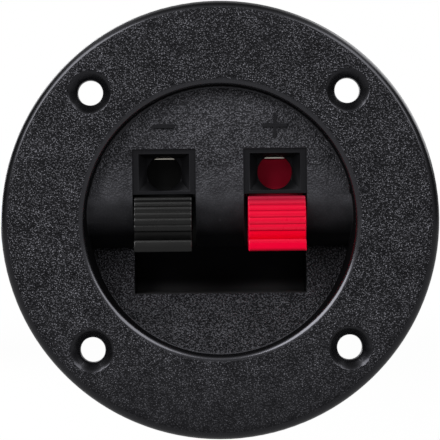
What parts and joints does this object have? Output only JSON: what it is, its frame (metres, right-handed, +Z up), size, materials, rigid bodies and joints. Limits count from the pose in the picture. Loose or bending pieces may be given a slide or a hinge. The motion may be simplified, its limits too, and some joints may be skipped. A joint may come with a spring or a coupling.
{
  "type": "speaker terminal",
  "caption": "Round flanged speaker terminal cup whose spring levers clamp bare wires in square entries against plated contact strips.",
  "frame": {"origin": "centre of the flange's back face, on the panel", "axes": "-Y towards the viewer of the front, +X to the right, +Z up"},
  "size_m": [0.075, 0.0306, 0.075],
  "materials": {
    "housing_plastic": "moulded black plastic with a fine leather grain",
    "black_lever_plastic": "smooth moulded black plastic",
    "red_lever_plastic": "smooth moulded red plastic",
    "contact_plate": "tin-plated sheet",
    "spring_wire": "drawn steel wire",
    "cover_plastic": "smooth moulded black plastic",
    "screw_steel": "zinc-plated steel"
  },
  "bodies": {
    "root": {"housing": "housing_plastic", "contact_negative": "contact_plate", "contact_positive": "contact_plate", "spring_negative": "spring_wire", "spring_positive": "spring_wire", "rear_cover": "cover_plastic", "cover_screws": "screw_steel"},
    "black_lever": {"lever_black": "black_lever_plastic"},
    "red_lever": {"lever_red": "red_lever_plastic"}
  },
  "joints": [
    {"name": "black_lever_press", "type": "hinge", "parent": "root", "child": "black_lever", "pos_m": [-0.00955, 0.014, 0.005], "axis": [1, 0, 0], "range_deg": [0, 14], "stiffness_Nm_per_rad": 0.04, "springref_deg": -22.92, "deforming": ["spring_negative"]},
    {"name": "red_lever_press", "type": "hinge", "parent": "root", "child": "red_lever", "pos_m": [0.00955, 0.014, 0.005], "axis": [1, 0, 0], "range_deg": [0, 14], "stiffness_Nm_per_rad": 0.04, "springref_deg": -22.92, "deforming": ["spring_positive"]}
  ]
}
